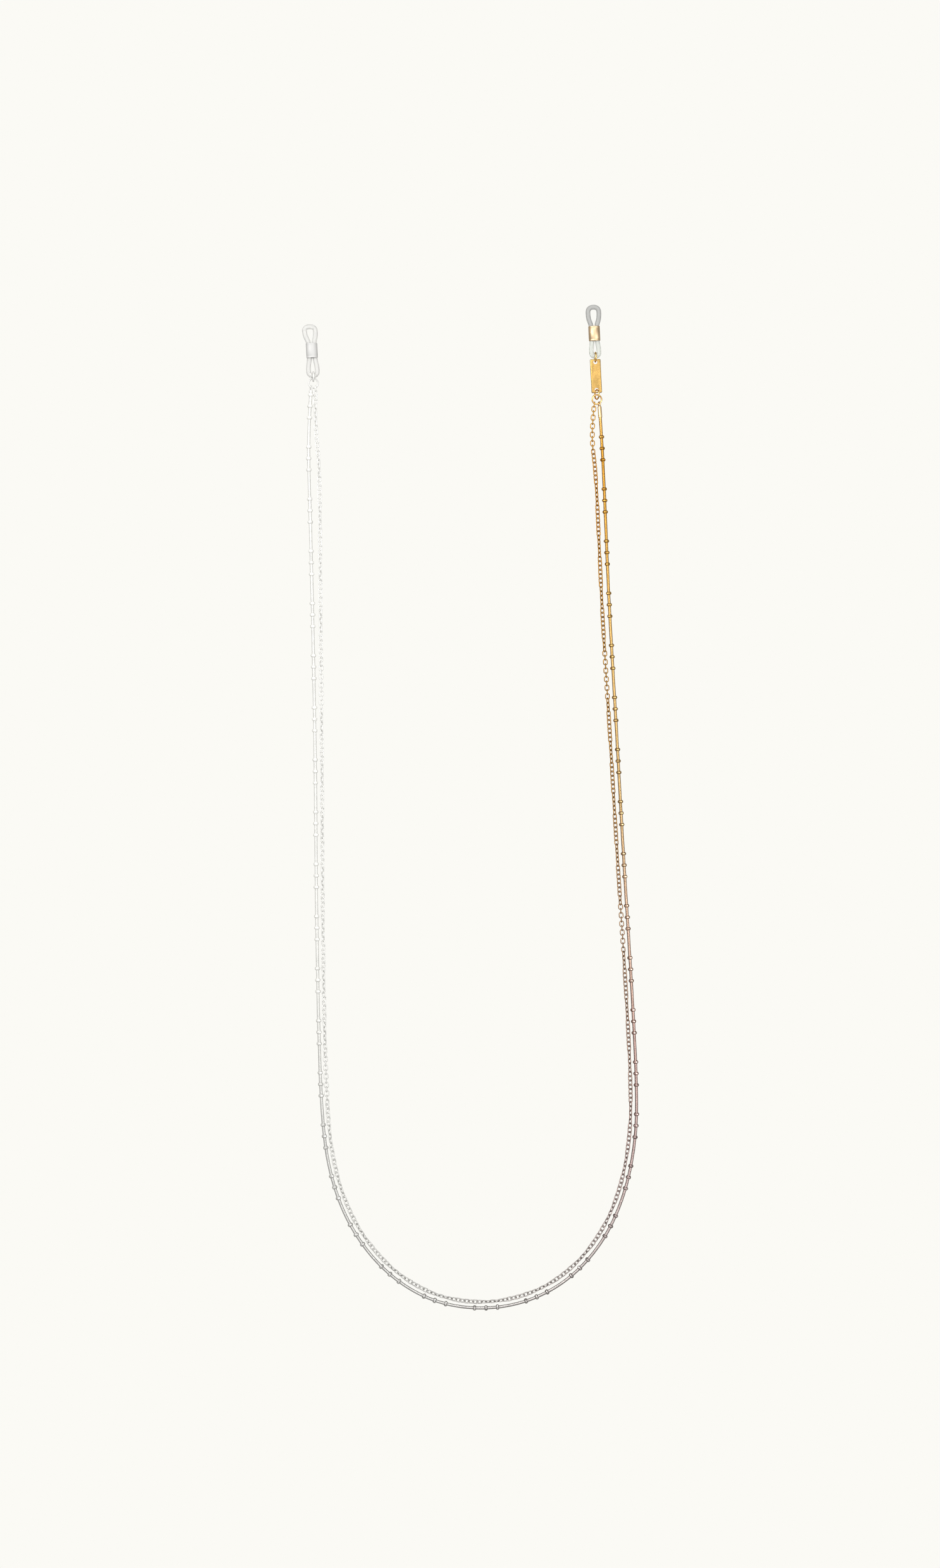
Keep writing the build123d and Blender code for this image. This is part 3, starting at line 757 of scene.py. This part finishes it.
def jump_ring(name, node, lean, cut_at, plating):
    """A jump ring in the place of a node, with its cut at an angle round the ring."""
    bpy.ops.object.select_all(action="DESELECT")
    radius = (RING_OD - RING_WIRE) / 2
    bpy.ops.mesh.primitive_circle_add(vertices=14, radius=RING_WIRE / 2, location=(radius, 0, 0),
                                      rotation=(math.pi / 2, 0, 0))
    ring = bpy.context.object
    ring.name = name
    bpy.ops.object.transform_apply(location=True, rotation=True, scale=True)
    bpy.ops.object.mode_set(mode="EDIT")
    bpy.ops.mesh.spin(steps=56, angle=math.radians(360 - RING_CUT), center=(0, 0, 0),
                      axis=(0, 0, 1))
    bpy.ops.mesh.select_all(action="SELECT")
    bpy.ops.mesh.fill_holes(sides=0)
    bpy.ops.mesh.select_all(action="SELECT")
    bpy.ops.mesh.normals_make_consistent(inside=False)
    bpy.ops.object.mode_set(mode="OBJECT")
    bpy.ops.object.shade_smooth_by_angle(angle=math.radians(40))
    turn = Matrix.Rotation(math.radians(-lean), 4, "Y") @ Matrix.Rotation(math.radians(cut_at), 4, "Z")
    finish_at_origin(ring, Matrix.Translation(middle_of(node)) @ turn)
    ring.data.materials.append(plating)
    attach(ring, node)
    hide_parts(node)


jump_ring("jump_ring_strap_right", "strap_ring_right", 0, 20, gold_plating)
jump_ring("jump_ring_tag", "tag_ring", TAG_RING_LEAN, 200, gold_plating)
jump_ring("jump_ring_loop_right", "loop_ring_right", LOOP_RING_LEAN, 190, gold_plating)
jump_ring("jump_ring_strap_left", "strap_ring_left", 0, 160, silver_plating)
jump_ring("jump_ring_loop_left", "loop_ring_left", LOOP_RING_LEAN, 170, silver_plating)

# --- Blank tag -----------------------------------------------------------------------------------
# A flat bar of gold-plated brass with a hole at each end, its edges tumbled soft and its faces
# brushed along their length. It has no lettering.
TAG_WIDTH = 3.4
TAG_LENGTH = 10.9
TAG_THICKNESS = 0.7
TAG_CORNER = 0.35
TAG_HOLE = 1.3
TAG_RIM = 0.35
TAG_TILT = 2.8
TAG_EDGE = 0.09

bpy.ops.object.select_all(action="DESELECT")
bpy.ops.mesh.primitive_cube_add(size=1)
tag = bpy.context.object
tag.name = "tag_plate"
tag.scale = (TAG_WIDTH, TAG_LENGTH, TAG_THICKNESS)
bpy.ops.object.transform_apply(location=True, rotation=True, scale=True)
bpy.ops.object.mode_set(mode="EDIT")
bpy.ops.mesh.select_all(action="DESELECT")
bpy.ops.object.mode_set(mode="OBJECT")
for edge in tag.data.edges:
    a, b = (tag.data.vertices[v].co for v in edge.vertices)
    edge.select = abs(a.z - b.z) > TAG_THICKNESS / 2
bpy.ops.object.mode_set(mode="EDIT")
bpy.ops.mesh.bevel(offset=TAG_CORNER, segments=5, affect="EDGES")
bpy.ops.object.mode_set(mode="OBJECT")
hole_at = TAG_LENGTH / 2 - TAG_RIM - TAG_HOLE / 2
for end in (-1, 1):
    bpy.ops.object.select_all(action="DESELECT")
    bpy.ops.mesh.primitive_cylinder_add(vertices=32, radius=TAG_HOLE / 2, depth=2 * TAG_THICKNESS,
                                        location=(0, end * hole_at, 0))
    cut_out(tag, bpy.context.object)
soften = tag.modifiers.new("soften", "BEVEL")
soften.width, soften.segments, soften.limit_method = TAG_EDGE, 3, "ANGLE"
soften.angle_limit = math.radians(50)
bpy.ops.object.modifier_apply(modifier="soften")
select_only(tag)
bpy.ops.object.shade_smooth_by_angle(angle=math.radians(35))
finish_at_origin(tag, Matrix.Translation(middle_of("blank_tag"))
                 @ Matrix.Rotation(math.radians(TAG_TILT), 4, "Z"))
tag_plating = plated_metal("tag_plating", ((0, (0.66, 0.415, 0.13)),), 900.0, 0.34, 0.26, 0.46, 0.30,
                           stretch=(1.0, 0.4, 1.0))
tag.data.materials.append(tag_plating)
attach(tag, "tag")
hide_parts("blank_tag")

# --- Loop barrels --------------------------------------------------------------------------------
# A short piece of plated brass tube, pressed oval, through which both legs of the silicone loop
# pass. Sliding it along the loop makes the loop's grip on the temple tighter.
BARREL_LENGTH = 4.7
BARREL_WIDTH = 3.70
BARREL_HEIGHT = 2.886
BORE_WIDTH = 3.12
BORE_HEIGHT = 1.56
BARREL_EDGE = 0.12
RIM_AT = 0.42                              # the fine turned line near each end
RIM_STEPS = (0.05, 0.12, 0.17)             # from where it starts to the end of its far slant
RIM_DEPTH = 0.035
BARREL_SIDES = 64
LOOP_TILT = {"right": 2.5, "left": 3.3}


def loop_barrel(side, plating):
    """The barrel of one end, in the place of its node."""
    end, size = BARREL_LENGTH / 2, BARREL_WIDTH / 2
    profile = [(-end, size - BARREL_EDGE),
               (-end + ROUNDING * BARREL_EDGE, size - ROUNDING * BARREL_EDGE),
               (-end + BARREL_EDGE, size), (-end + RIM_AT, size),
               (-end + RIM_AT + RIM_STEPS[0], size - RIM_DEPTH),
               (-end + RIM_AT + RIM_STEPS[1], size - RIM_DEPTH),
               (-end + RIM_AT + RIM_STEPS[2], size)]
    profile += [(-x, r) for x, r in reversed(profile)]
    barrel = turned(f"barrel_{side}", profile, BARREL_SIDES)
    barrel.scale = (1, 1, BARREL_HEIGHT / BARREL_WIDTH)
    bpy.ops.object.transform_apply(location=True, rotation=True, scale=True)
    bpy.ops.object.select_all(action="DESELECT")
    bpy.ops.mesh.primitive_cylinder_add(vertices=34, radius=BORE_HEIGHT / 2,
                                        depth=2 * BARREL_LENGTH, rotation=(0, math.pi / 2, 0))
    bore = bpy.context.object
    bpy.ops.object.transform_apply(location=True, rotation=True, scale=True)
    draw_apart(bore, 1, (BORE_WIDTH - BORE_HEIGHT) / 2)
    cut_out(barrel, bore)
    select_only(barrel)
    bpy.ops.object.shade_smooth_by_angle(angle=math.radians(35))
    turn = Matrix.Rotation(math.radians(90 + LOOP_TILT[side]), 4, "Z")
    finish_at_origin(barrel, Matrix.Translation(middle_of(f"loop_barrel_{side}")) @ turn)
    barrel.data.materials.append(plating)
    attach(barrel, f"loop_barrel_{side}")
    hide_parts(f"loop_barrel_{side}")


barrel_gold = plated_metal("barrel_gold", ((0, (0.70, 0.52, 0.325)),), 1500.0, 0.14, 0.40, 0.52, 0.05,
                           stretch=(1.0, 0.08, 1.0))
barrel_silver = plated_metal("barrel_silver", ((0, (0.52, 0.515, 0.50)),), 1500.0, 0.05, 0.52, 0.64,
                             0.05, stretch=(1.0, 0.08, 1.0), metallic=0.15)
loop_barrel("right", barrel_gold)
loop_barrel("left", barrel_silver)

# --- Silicone loops ------------------------------------------------------------------------------
# A loop of clear silicone cord that goes over the temple of the glasses. The barrel pinches it to
# a figure of eight, whose small lower loop hangs in the jump ring.
SILICONE_OD = 1.5
LEG_X = 0.78                               # from the loop's middle to the middle of each leg
LOOP_HEIGHT = 15.8
TEMPLE_HALF_WIDTH = 1.75
UPPER_RISE = 2.6                           # from the barrel to where the upper loop is widest
LOWER_SHARE = 0.35
BARREL_AT = {"right": 7.3, "left": 8.1}
LOWER_HALF_WIDTH = {"right": 1.2, "left": 1.4}
UPPER_LEAN = {"right": 0.0, "left": -0.35}
JOIN_AT = 1.0                              # past the barrel's middle, where the two halves meet
SILICONE_STEPS = 14
CLOUD_SHADE = 0.93                         # the tint's brightness in its cloudier spots
HAZE_SPREAD = 0.14


def clear_silicone(name, tint, haze, clearness):
    """Soft clear silicone, a little milky, with the faint haze that handling leaves on it."""
    material = bpy.data.materials.new(name)
    material.use_nodes = True
    nodes, link = material.node_tree.nodes, material.node_tree.links.new
    shader = nodes["Principled BSDF"]
    shader.inputs["Transmission Weight"].default_value = clearness
    shader.inputs["IOR"].default_value = 1.41
    shader.inputs["Specular IOR Level"].default_value = 0.3
    where = nodes.new("ShaderNodeTexCoord")
    cloud = nodes.new("ShaderNodeTexNoise")
    cloud.inputs["Scale"].default_value = 350.0
    cloud.inputs["Detail"].default_value = 5.0
    link(where.outputs["Object"], cloud.inputs["Vector"])
    colour = nodes.new("ShaderNodeMix")
    colour.data_type = "RGBA"
    colour.inputs[6].default_value = (*tint, 1)
    colour.inputs[7].default_value = (*(CLOUD_SHADE * c for c in tint), 1)
    link(cloud.outputs["Fac"], colour.inputs["Factor"])
    link(colour.outputs[2], shader.inputs["Base Color"])
    rough = nodes.new("ShaderNodeMapRange")
    rough.inputs["From Min"].default_value = NOISE_LOW
    rough.inputs["From Max"].default_value = NOISE_HIGH
    rough.inputs["To Min"].default_value = haze
    rough.inputs["To Max"].default_value = haze + HAZE_SPREAD
    link(cloud.outputs["Fac"], rough.inputs["Value"])
    link(rough.outputs["Result"], shader.inputs["Roughness"])
    relief = nodes.new("ShaderNodeBump")
    relief.inputs["Strength"].default_value = 0.15
    relief.inputs["Distance"].default_value = 0.00004
    link(cloud.outputs["Fac"], relief.inputs["Height"])
    link(relief.outputs["Normal"], shader.inputs["Normal"])
    return material


def silicone_cord(name, route, place):
    """A length of silicone cord with these control points, in millimetres."""
    curve = bpy.data.curves.new(name, "CURVE")
    curve.dimensions = "3D"
    spline = curve.splines.new("NURBS")
    spline.points.add(len(route) - 1)
    for point, (x, y) in zip(spline.points, route):
        point.co = (x, y, 0, 1)
    spline.order_u = 3
    spline.use_endpoint_u = True
    spline.resolution_u = SILICONE_STEPS
    curve.bevel_depth = SILICONE_OD / 2
    curve.bevel_resolution = 6
    curve.use_fill_caps = True
    cord = bpy.data.objects.new(name, curve)
    scene.collection.objects.link(cord)
    select_only(cord)
    bpy.ops.object.convert(target="MESH")
    bpy.ops.object.mode_set(mode="EDIT")
    bpy.ops.mesh.select_all(action="SELECT")
    bpy.ops.mesh.remove_doubles(threshold=0.001)
    bpy.ops.mesh.normals_make_consistent(inside=False)
    bpy.ops.object.mode_set(mode="OBJECT")
    bpy.ops.object.shade_smooth_by_angle(angle=math.radians(50))
    finish_at_origin(cord, place)
    return cord


silicone = {("right", "upper"): clear_silicone("silicone_smoky", (0.48, 0.48, 0.465), 0.40, 0.45),
            ("right", "lower"): clear_silicone("silicone_hazy", (0.74, 0.76, 0.715), 0.30, 0.70),
            ("left", "upper"): clear_silicone("silicone_clear", (0.76, 0.755, 0.735), 0.50, 0.55)}
silicone["left", "lower"] = silicone["left", "upper"]
for side in ("right", "left"):
    tilt = math.radians(LOOP_TILT[side])
    up = Vector((-math.sin(tilt), math.cos(tilt), 0))
    foot = middle_of(f"loop_barrel_{side}") - up * BARREL_AT[side] / 1000
    place = Matrix.Translation(foot) @ Matrix.Rotation(tilt, 4, "Z")
    low, high = BARREL_AT[side] - BARREL_LENGTH / 2, BARREL_AT[side] + BARREL_LENGTH / 2
    join = BARREL_AT[side] + JOIN_AT
    narrow, wide, lean = LOWER_HALF_WIDTH[side], TEMPLE_HALF_WIDTH, UPPER_LEAN[side]
    shoulder = narrow + LOWER_SHARE * (low - narrow)
    lower = silicone_cord(f"silicone_lower_{side}", (
        (LEG_X, join), (LEG_X, low), (narrow, shoulder), (narrow, 0),
        (-narrow, 0), (-narrow, shoulder), (-LEG_X, low), (-LEG_X, join)), place)
    upper = silicone_cord(f"silicone_upper_{side}", (
        (LEG_X, join), (LEG_X, high), (wide + lean / 2, high + UPPER_RISE),
        (wide + lean, LOOP_HEIGHT), (-wide + lean, LOOP_HEIGHT),
        (-wide + lean / 2, high + UPPER_RISE), (-LEG_X, high), (-LEG_X, join)), place)
    for piece, part in ((lower, "lower"), (upper, "upper")):
        piece.data.materials.append(silicone[side, part])
        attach(piece, f"temple_loop_{side}")
    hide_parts(f"temple_loop_{side}")
    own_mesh(upper)

low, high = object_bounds()
